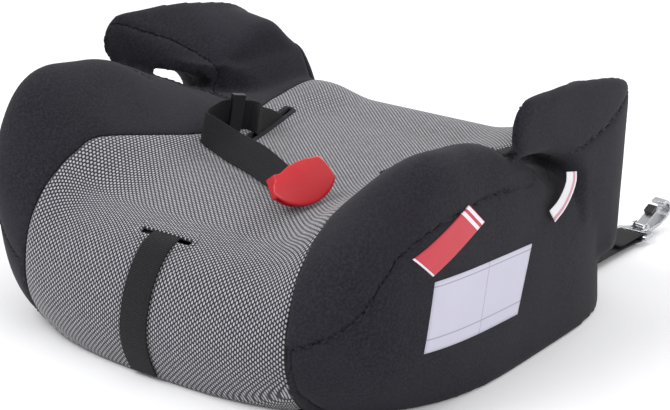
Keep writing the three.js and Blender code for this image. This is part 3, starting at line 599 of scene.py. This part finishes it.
def openings(p):
    """Below 0 where the cover is cut away: under its hem, at the anchor straps, the slits and the slot."""
    x, y, z = p[:, 0], p[:, 1], p[:, 2]
    hem = z - 1.2
    notch = np.where(y > 150, np.maximum(np.abs(np.abs(x) - ANCHOR_X) - 14, z - 12), FAR)
    slit = np.where(z > 100, distance_to(np.stack([np.abs(x), y], -1), SLIT_ENDS) - SLIT_HALF, FAR)
    slot = np.where(y < -150, distance_to(np.stack([x, z], -1), SLOT_ENDS) - SLOT_HALF, FAR)
    return np.min([hem, notch, slit, slot], axis=0)


def panels_of(skin):
    """The skin's faces sorted into panels, each as its own points and faces."""
    mesh = bmesh.new()
    mesh.from_mesh(skin.data)
    for index in (1, 0, 2, 3):
        cut_at(mesh, lambda p, i=index: seam_fields(p)[i])
    cut_at(mesh, openings)
    mesh.verts.index_update()
    middles = np.array([f.calc_center_median() for f in mesh.faces]) * 1000
    centre, rear, side, gusset = seam_fields(middles)
    right = middles[:, 0] > 0
    kinds = np.where(rear < 0, "rear_panel", np.where(centre < 0, "centre_panel", np.where(
        side < 0, "side_panel", np.where(gusset < 0, "arm_gusset", "bolster_panel"))))
    names = np.array([k if k in ("rear_panel", "centre_panel") else ("right_" if r else "left_") + k
                      for k, r in zip(kinds, right)])
    drop = openings(middles) < 0
    points = np.array([v.co for v in mesh.verts]) * 1000
    found = {}
    for name in sorted(set(names)):
        chosen = [f for f, n, d in zip(mesh.faces, names, drop) if n == name and not d]
        used = sorted({v.index for f in chosen for v in f.verts})
        place = {old: new for new, old in enumerate(used)}
        faces = [[place[v.index] for v in f.verts] for f in chosen]
        found[name] = (points[used], faces)
    mesh.free()
    return found


def surface_lookup(skin):
    """A way to find the nearest place on the skin, and where a ray meets it."""
    verts = [v.co.copy() for v in skin.data.vertices]
    return BVHTree.FromPolygons(verts, [p.vertices[:] for p in skin.data.polygons])


def seam_distance(name, points):
    """Each point's distance to its own panel's nearest seam, and the place along that seam."""
    centre, rear, side, gusset = seam_fields(points)
    y, z, x = points[:, 1], points[:, 2], np.abs(points[:, 0])
    if name == "centre_panel":
        options = [np.abs(centre), np.abs(rear)]
    elif name == "rear_panel":
        options = [np.abs(rear)]
    elif "side" in name:
        options = [np.abs(side), np.abs(rear)]
    elif "gusset" in name:
        options = [np.abs(gusset)]
    else:
        options = [np.abs(centre), np.abs(rear)]
        options += [np.where(field > 0, field, FAR) for field in (side, gusset)]
    nearest = np.min(options, axis=0)
    return nearest, y + 0.6 * z + (0.8 * x if name == "rear_panel" else 0)


def float_attribute(obj, name, values):
    obj.data.attributes.new(name, "FLOAT", "POINT").data.foreach_set("value", np.asarray(values, np.float32))


def vector_attribute(obj, name, values):
    flat = np.asarray(values, np.float32).ravel()
    obj.data.attributes.new(name, "FLOAT_VECTOR", "POINT").data.foreach_set("vector", flat)


DROP_START = 300  # makes the coordinate along the seat run on from the top into the front face


def weave_coordinates(points):
    """Across and along the seat, along following the surface over the front and down."""
    y, z = points[:, 1], points[:, 2]
    over = smooth(-140, -190, y)
    return np.stack([points[:, 0], y * (1 - over) + (z - DROP_START) * over, np.zeros(len(points))], -1)


def in_recess(points):
    """1 in the recess under each arm, where the seams are turned inside and don't show."""
    x, y, z = np.abs(points[:, 0]), points[:, 1], points[:, 2]
    return smooth(-30, -10, y) * (1 - smooth(60, 80, y)) * smooth(150, 170, x) * (1 - smooth(152, 170, z))


CLOTH_THICKNESS = 0.0016


def add_cover(skin):
    for name, (points, faces) in panels_of(skin).items():
        nearest, along = seam_distance(name, points)
        nearest = nearest + 4 * in_recess(points)
        ups = np.array([skin_tree.find_nearest(Vector(p / 1000))[1] for p in points])
        depth = 1.5 * np.exp(-nearest / 2.6) + 0.5 * np.exp(-nearest / 11)
        crumple = 0.5 * np.sin(points[:, 1] / 17 + 2 * np.sin(points[:, 0] / 23)) * np.sin(points[:, 2] / 19)
        moved = points - ups * (depth + 0.35 * np.abs(crumple))[:, None]
        obj = new_object(name + "_cloth", moved, faces, WEAVE if name == "centre_panel" else KNIT)
        float_attribute(obj, "seam", nearest)
        float_attribute(obj, "seam_along", along)
        vector_attribute(obj, "weave", weave_coordinates(points))
        thick = obj.modifiers.new("cloth", "SOLIDIFY")
        thick.thickness, thick.offset = CLOTH_THICKNESS, -1
        apply_modifiers(obj)
        shade_smooth(obj)
        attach(obj, "seat")
        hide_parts(name)


skin = whole_skin()
skin_tree = surface_lookup(skin)
add_cover(skin)

# ---------- straps ----------
def fine_stations(stations, steps):
    """Strap stations, each (lower edge, upper edge), with smooth ones added between."""
    s = np.array(stations, float)
    travelled = np.r_[0, np.cumsum(np.linalg.norm(np.diff(s.mean(1), axis=0), axis=1))]
    slopes = even_slopes(travelled, s)
    fine, where = [], []
    for i in range(len(s) - 1):
        span = travelled[i + 1] - travelled[i]
        for t in np.linspace(0, 1, steps, endpoint=i == len(s) - 2):
            a, b = slopes[i] * span, slopes[i + 1] * span
            fine.append(s[i] + t * a + t * t * (3 * (s[i + 1] - s[i]) - 2 * a - b)
                        + t**3 * (2 * (s[i] - s[i + 1]) + a + b))
            where.append(travelled[i] + t * span)
    return np.array(fine), np.array(where)


def strap(name, stations, node, thickness=1.4, steps=8, body="seat", look=WEBBING):
    """A flat woven strap with rounded edges."""
    fine, where = fine_stations(stations, steps)
    middle = fine.mean(1)
    ahead = np.gradient(middle, axis=0)
    across = fine[:, 1] - fine[:, 0]
    width = np.linalg.norm(across, axis=1)
    across /= width[:, None]
    normal = np.cross(ahead, across)
    normal /= np.linalg.norm(normal, axis=1)[:, None]
    half = thickness / 2
    profile = [(-1, -0.1), (-1, -0.7), (-0.96, -1), (-0.5, -1), (0, -1), (0.5, -1), (0.96, -1), (1, -0.6),
               (1, 0.6), (0.96, 1), (0.5, 1), (0, 1), (-0.5, 1), (-0.96, 1), (-1, 0.6)]
    points, coordinates = [], []
    for m, a, n, w, v in zip(middle, across, normal, width, where):
        for share, depth in profile:
            points.append(m + a * share * w / 2 + n * depth * half)
            coordinates.append((share * w / 2, v, 0))
    count = len(profile)
    faces = grid_faces(len(middle), count)
    faces += [tuple(range(count))[::-1], tuple(range(len(points) - count, len(points)))]
    obj = new_object(name, points, faces, look)
    vector_attribute(obj, "weave", coordinates)
    face_outwards(obj)
    shade_smooth(obj)
    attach(obj, body)
    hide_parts(node)


BELT_STATIONS = [
    ((-86.5, 88, 84), (-88.5, 96, 108)), ((-81.5, 68, 101), (-83, 74, 125.5)),
    ((-76, 46, 112), (-77.8, 53, 136.5)), ((-70, 26, 120), (-73, 34, 144)),
    ((-66.5, 17.5, 125.5), (-69.6, 27, 149)),
    ((-69.5, 16.5, 127), (-69.5, 22, 151.5)), ((-74, 14, 128.6), (-71.4, 16.3, 153.2)),
    ((-79.3, 4, 130), (-76.7, 6.3, 154.6)), ((-84.6, -6, 131.2), (-82, -3.7, 155.8)),
    ((-86.3, -17.6, 129.3), (-84, -16, 153.5)), ((-85, -27.5, 129), (-82, -25.5, 153)),
    ((-81.5, -34.5, 128), (-78, -31.5, 152)), ((-75.5, -38.5, 127), (-69.5, -33, 150.5)),
    ((-61.5, -43, 124.8), (-55, -33.5, 146.5)), ((-42, -52, 124.2), (-37.5, -36, 143)),
    ((-10.5, -65, 124), (-5.5, -48, 142)), ((28, -83.5, 123.5), (28, -62, 136.5)),
    ((38, -91, 125.5), (38, -68.5, 137.2)), ((46.5, -96.5, 127.5), (46.5, -73.5, 138.5))]


def level_stations(line, x):
    return [((x - WEB_HALF, y, z), (x + WEB_HALF, y, z)) for y, z in line]


def adjuster_route():
    levels = np.array([0.03, 0.1, 0.2, 0.3, 0.42, 0.54, 0.66, 0.76])
    reach = (1 - levels**3.4) ** (1 / 3.4)
    outside = skin_point(np.full(8, -math.pi / 2), reach, levels, -1.4)[:, 1:]
    inside = [(-164, 103), (-150, 101), (-130, 93), (-112, 88), (-60, 88), (-45, 86), (-20, 78), (56, 76),
              (63, 76)]
    return [tuple(p) for p in outside] + inside


def anchor_route():
    bar, clearance, half_web = 1.9, 0.3, 0.7
    radius = bar + clearance + half_web
    low, high = ANCHOR_X - WEB_HALF, ANCHOR_X + WEB_HALF
    route = [((3, 96, 74), (26, 89, 74)), ((24, 109, 62), (46, 94, 62)), ((56, 128, 44), (78, 110, 44)),
             ((92, 148, 23), (114, 127, 23)), ((114, 160, 12), (136, 139, 12)),
             ((low, 176, 8), (high, 166, 8))]
    route += [((low, y, z), (high, y, z)) for y, z in ((190, 7), (240, 7), (292, 5))]
    for angle in np.radians((-90, -60, -30, 0, 30, 60, 90)):
        y, z = HOOK_Y + radius * math.cos(angle), HOOK_BAR_Z + radius * math.sin(angle)
        route.append(((low, y, z), (high, y, z)))
    return route + [((low, y, 9.6), (high, y, 9.6)) for y in (298, 262)]


def mirror_stations(stations):
    return [((-a[0], *a[1:]), (-b[0], *b[1:])) for a, b in stations]


strap("belt_strap_web", BELT_STATIONS, "belt_strap", body="positioner", steps=10)
strap("adjust_strap_web", level_stations(adjuster_route(), STRAP_X), "adjust_strap", body="harness")
strap("right_anchor_web", anchor_route(), "right_anchor_strap", body="harness", steps=5)
strap("left_anchor_web", mirror_stations(anchor_route()), "left_anchor_strap", body="harness", steps=5)

# ---------- labels and edgings sewn to the cover ----------
def on_skin(point, direction):
    """Where a ray from outside first meets the seat, in millimetres, and the surface's direction there."""
    place, normal, _, _ = skin_tree.ray_cast(Vector(point) / 1000, Vector(direction))
    return (np.array(place) * 1000, np.array(normal)) if place else (None, None)


def patch(name, corners, look, node, thickness=0.7, across=28, along=20):
    """A thin label sewn flat to the right side of the seat; its corners are (y, z)."""
    c = np.array(corners, float)
    size_u = (np.linalg.norm(c[1] - c[0]) + np.linalg.norm(c[2] - c[3])) / 2
    size_v = (np.linalg.norm(c[3] - c[0]) + np.linalg.norm(c[2] - c[1])) / 2
    tops, feet, coordinates = [], [], []
    for i in range(across + 1):
        for j in range(along + 1):
            s, t = i / across, j / along
            y, z = (c[0] * (1 - s) + c[1] * s) * (1 - t) + (c[3] * (1 - s) + c[2] * s) * t
            place, normal = on_skin((260, y, z), (-1, 0, 0))
            rim = min(s * size_u, (1 - s) * size_u, t * size_v, (1 - t) * size_v)
            lift = 0.15 + thickness * min(1, 0.35 + rim / 1.5)
            tops.append(place + normal * lift)
            feet.append(place - normal * 0.8)
            coordinates.append((s * size_u, t * size_v, 0))
    count = (across + 1) * (along + 1)
    faces = grid_faces(across + 1, along + 1, closed=False)
    faces += [tuple(i + count for i in f[::-1]) for f in grid_faces(across + 1, along + 1, closed=False)]
    rim = [j for j in range(along)] + [i * (along + 1) + along for i in range(across)]
    rim += [across * (along + 1) + j for j in range(along, 0, -1)]
    rim += [i * (along + 1) for i in range(across, 0, -1)]
    faces += [(a, b, b + count, a + count) for a, b in zip(rim, rim[1:] + rim[:1])]
    obj = new_object(name, tops + feet, faces, look)
    vector_attribute(obj, "weave", coordinates * 2)
    face_outwards(obj)
    shade_smooth(obj)
    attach(obj, "seat")
    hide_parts(node)


WHITE = (226, 224, 232)
TAG = label_material("tag_red", (196, 52, 66), [
    (0, 1.6, WHITE, "u"), (54, 57.5, WHITE, "u"), (60.5, 64, WHITE, "u")])
PATCH = label_material("patch_white", (196, 194, 210), [
    (3, 4, (150, 148, 165), "v"), (42.5, 43.5, (150, 148, 165), "v"), (62, 62.8, (150, 148, 165), "u")])
CARE = label_material("care_white", (226, 224, 230), [(1.8, 5.6, (196, 140, 150), "u")])
patch("side_tag_ribbon", [(-144, 126), (-84, 150), (-64, 133), (-124, 109)], TAG, "side_tag")
patch("instruction_patch_print", [(-121, 104), (6, 97), (-9, 46), (-122, 50)], PATCH, "instruction_patch")


def racetrack(ends, radius, steps=10):
    """Points round a straight slit at a distance from it."""
    a, b = (Vector(e) for e in ends)
    heading = math.atan2(b.y - a.y, b.x - a.x)
    points = []
    for middle, start in ((b, heading - math.pi / 2), (a, heading + math.pi / 2)):
        for i in range(steps + 1):
            angle = start + math.pi * i / steps
            points.append((middle.x + radius * math.cos(angle), middle.y + radius * math.sin(angle)))
    straight = 14
    first, second = points[: steps + 1], points[steps + 1:]

    def between(p, q):
        shares = np.linspace(0, 1, straight)[1:-1]
        return [(p[0] + (q[0] - p[0]) * t, p[1] + (q[1] - p[1]) * t) for t in shares]

    return first + between(first[-1], second[0]) + second + between(second[-1], first[0])


def edging(name, node, ends, ray, thin=None, look=KNIT, share=1.0):
    """A folded binding round a slit: ray(u, v) meets the seat, thin(u, v) says where it lies flatter.

    share makes the binding narrower than 8 mm.
    """
    profile = [(2.5, -4.0), (2.5, -0.5), (3.0, 0.7), (3.9, 1.0), (5.5, 0.85), (7.2, 0.8), (8.0, 0.3),
               (8.1, -0.8)]
    rows, coordinates = [], []
    for radius, lift in profile:
        row = []
        for i, (u, v) in enumerate(racetrack(ends, radius * share)):
            place, normal = ray(u, v)
            height = min(lift, 0.25) if thin and thin(u, v) else lift * share
            row.append(place + normal * height)
            coordinates.append(weave_coordinates(place[None])[0] if look is WEAVE else (radius, i * 2.0, 0))
        rows.append(row)
    count = len(rows[0])
    points = [p for row in rows for p in row]
    obj = new_object(name, points, grid_faces(len(rows), count), look)
    float_attribute(obj, "seam", [r + 1.2 for r, _ in profile for _ in range(count)])
    float_attribute(obj, "seam_along", [i * 1.7 for _ in profile for i in range(count)])
    vector_attribute(obj, "weave", coordinates)
    thick = obj.modifiers.new("cloth", "SOLIDIFY")
    thick.thickness, thick.offset = 0.0005, 0
    apply_modifiers(obj)
    shade_smooth(obj)
    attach(obj, "seat")
    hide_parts(node)


for side, word in ((1, "right"), (-1, "left")):
    edging(f"{word}_slit_binding", f"{word}_slit_edging", [(side * x, y) for x, y in SLIT_ENDS],
           lambda u, v: on_skin((u, v, 260), (0, 0, -1)), share=0.66)
edging("front_slot_binding", "front_slot_edging", SLOT_ENDS, lambda u, v: on_skin((u, -260, v), (0, 1, 0)),
       lambda u, v: abs(u - STRAP_X) < 15 and v < 103, WEAVE, 0.5)

CARE_STATIONS = [((201.4, 50, 142), (201.4, 66, 138.5)), ((203, 47.5, 136), (203, 63.5, 132)),
                 ((203.8, 42, 129.5), (203.8, 57, 123)), ((203.8, 34, 123), (203.8, 47, 114)),
                 ((203.2, 24, 118.5), (203.2, 34, 107))]
strap("care_label_ribbon", CARE_STATIONS, "care_label", thickness=0.6, look=CARE)


def add_hem():
    """The cover's edge, folded under the seat."""
    rings = 200
    angle = np.arange(rings) / rings * 2 * math.pi
    profile = [(1.9, 0.45), (7, 0.4), (12.0, 0.5), (12.6, 1.1), (12.0, 1.7), (7, 1.8), (1.9, 1.75)]
    rows = []
    for inset, z in profile:
        wave = 0.25 * np.sin(angle * 31) * (inset > 5)
        row = skin_point(angle, np.ones(rings), np.full(rings, 0.004), inset)
        row[:, 2] = z + 0.3 * wave
        rows.append(row)
    points = np.concatenate(rows)
    faces = grid_faces(len(rows), rings) + [
        ((len(rows) - 1) * rings + i, (len(rows) - 1) * rings + (i + 1) % rings, (i + 1) % rings, i)
        for i in range(rings)]
    obj = new_object("cover_hem_fold", points, faces, KNIT)
    float_attribute(obj, "seam", np.full(len(points), 9.0))
    vector_attribute(obj, "weave", points)
    face_outwards(obj)
    shade_smooth(obj)
    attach(obj, "seat")
    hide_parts("cover_hem")


add_hem()


# ---------- foam and hard fittings, rebuilt from the frame's own pieces ----------
def copy_of(node, name):
    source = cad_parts[node]
    obj = bpy.data.objects.new(name, source.data.copy())
    obj.data.materials.clear()
    collection.objects.link(obj)
    return obj


def recast(node, name, voxel, look, body, steps=4):
    """A node with its edges rounded as they come out of a mould or press."""
    obj = copy_of(node, name)
    remeshed(obj, voxel)
    relaxed(obj, 0.5, steps)
    obj.data.materials.append(look)
    shade_smooth(obj)
    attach(obj, body)
    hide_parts(node)


def keep_under_cover(obj, depth):
    """Presses a piece in wherever it comes closer than depth to the outside of the cover."""
    for v in obj.data.vertices:
        place, normal, _, _ = skin_tree.find_nearest(v.co)
        if (v.co - place).dot(normal) > -depth:
            v.co = place - normal * depth


FOAM_DEPTH, FOAM_SHRINK, FOAM_VOXEL = 0.0052, 0.001, 0.004
for node in ("seat_foam", "right_arm_foam", "left_arm_foam"):
    foam = copy_of(node, node + "_block")
    remeshed(foam, FOAM_VOXEL)
    shrink = foam.modifiers.new("shrink", "DISPLACE")
    shrink.mid_level, shrink.strength = 0.0, -FOAM_SHRINK
    apply_modifiers(foam)
    relaxed(foam, 0.4, 2)
    keep_under_cover(foam, FOAM_DEPTH)
    foam.data.materials.append(FOAM)
    shade_smooth(foam)
    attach(foam, "seat")
    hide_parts(node)

for node, body in (("adjuster_frame", "seat"), ("adjuster_pin", "seat"), ("adjuster_cam", "cam"),
                   ("adjuster_rivet_1", "seat"), ("adjuster_rivet_2", "seat")):
    recast(node, node + "_steel", 0.0004, STEEL, body, 2)
recast("strap_yoke", "strap_yoke_steel", 0.0005, STEEL, "harness", 3)
for word in ("right", "left"):
    hook_body, gate_body = f"{word}_anchor_hook", f"{word}_gate"
    recast(f"{word}_hook", f"{word}_hook_steel", 0.0005, STEEL, hook_body, 5)
    recast(f"{word}_hook_pin", f"{word}_hook_pin_steel", 0.0003, STEEL, hook_body, 2)
    recast(f"{word}_hook_gate", f"{word}_hook_gate_steel", 0.0003, STEEL, gate_body, 3)
    recast(f"{word}_hook_tab", f"{word}_hook_tab_grip", 0.0003, BLACK, gate_body, 4)
recast("strap_slider", "strap_slider_loop", 0.00035, BLACK, "slider", 3)

# ---------- the red clip ----------
CLIP_SIDE = [(-28, 0.5), (-25, 6.5), (-17, 12.2), (-6, 15.6), (8, 16.4), (18, 15), (24, 12.6), (28, -3),
             (22, -10.5), (12, -15.2), (0, -17), (-12, -14.8), (-22, -8.6)]
CLIP_AXES = np.array([(0.3102, 0.9507, 0), (-0.545, 0.178, 0.819), (0.778, -0.254, 0.573)])
CLIP_CENTRE = np.array([62, -92, 141])
CLIP_TURN, CLIP_SHIFT = math.radians(9), (1, -2)


def clip_plate(share, n_back, n_front, dome):
    """A leaf-shaped plate with a domed face and a rounded rim."""
    outline = closed_curve(CLIP_SIDE[2:] + CLIP_SIDE[:2], 6) * share
    cos, sin = math.cos(CLIP_TURN), math.sin(CLIP_TURN)
    outline = outline @ np.array([[cos, sin], [-sin, cos]]) + np.array(CLIP_SHIFT)
    rim = [(0.97, 0.0), (1.0, 0.35), (1.0, 0.65), (0.975, 0.9), (0.93, 1.0)]
    rows = []
    for s in np.linspace(0.08, 0.9, 5):
        rows.append([(*(p * s), n_back) for p in outline])
    for s, t in rim:
        rows.append([(*(p * s), n_back + (n_front - n_back) * t) for p in outline])
    for s in np.linspace(0.85, 0.08, 8):
        rows.append([(*(p * s), n_front + dome * (1 - (s / 0.93) ** 2)) for p in outline])
    points = np.array([p for row in rows for p in row])
    count = len(outline)
    faces = grid_faces(len(rows), count)
    faces += [tuple(range(count))[::-1], tuple(range(len(points) - count, len(points)))]
    return points, faces


def add_clip():
    points, faces = np.zeros((0, 3)), []
    for share, back, front, dome in ((1.0, -2.6, -0.4, 1.1), (0.82, -14.0, -11.8, 0.4)):
        more, extra = clip_plate(share, back, front, dome)
        faces += [tuple(i + len(points) for i in f) for f in extra]
        points = np.concatenate([points, more])
    corners = [(u, v, n) for u in (-22, -17) for v in (-8, 8) for n in (-13.2, -1)]
    box = [(0, 1, 3, 2), (4, 6, 7, 5), (0, 4, 5, 1), (2, 3, 7, 6), (0, 2, 6, 4), (1, 5, 7, 3)]
    faces += [tuple(i + len(points) for i in f) for f in box]
    points = np.concatenate([points, corners]) @ CLIP_AXES + CLIP_CENTRE
    obj = new_object("belt_clip_red", points, faces)
    face_outwards(obj)
    remeshed(obj, 0.0005)
    relaxed(obj, 0.5, 5)
    obj.data.materials.append(RED)
    shade_smooth(obj)
    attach(obj, "clip")
    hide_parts("belt_clip")


add_clip()
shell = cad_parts["seat_shell"]
shell.data.materials.clear()
shell.data.materials.append(SHELL)
bpy.data.objects.remove(skin)

# ---------- floor, light and camera ----------
def add_floor():
    floor = new_object("floor", [(-6000, -6000, 0), (6000, -6000, 0), (6000, 6000, 0), (-6000, 6000, 0)],
                       [(0, 1, 2, 3)], material("floor", (236, 236, 238), 0.75, Specular_IOR_Level=0.1))


def add_light(name, place, size, power, aim=(0, 0, 0.08)):
    light = bpy.data.lights.new(name, "AREA")
    light.shape, light.size, light.energy = "DISK", size, power
    obj = bpy.data.objects.new(name, light)
    obj.location = place
    obj.rotation_euler = (Vector(aim) - Vector(place)).to_track_quat("-Z", "Y").to_euler()
    collection.objects.link(obj)


def add_camera():
    camera = bpy.data.cameras.new("camera")
    camera.sensor_width, camera.lens = 36, 94.4
    obj = bpy.data.objects.new("camera", camera)
    place, target = Vector((0.7773, -1.0693, 0.5381)), Vector((0.0016, 0.0359, 0.0746))
    roll = math.radians(1.85)
    turn = (target - place).to_track_quat("-Z", "Y").to_matrix() @ Matrix.Rotation(roll, 3, "Z")
    obj.matrix_world = Matrix.Translation(place) @ turn.to_4x4()
    collection.objects.link(obj)
    bpy.context.scene.camera = obj


add_floor()
world = bpy.data.worlds.new("world")
world.use_nodes = True
world.node_tree.nodes["Background"].inputs[0].default_value = (1, 1, 1, 1)
world.node_tree.nodes["Background"].inputs[1].default_value = 0.85
bpy.context.scene.world = world
add_light("key", (-0.9, -1.3, 1.9), 1.4, 34)
add_light("fill", (1.9, -0.6, 1.2), 1.6, 14)
add_light("rim", (0.3, 1.9, 1.6), 1.4, 22)
add_camera()
bpy.context.scene.view_settings.view_transform = "Standard"
bpy.context.view_layer.update()
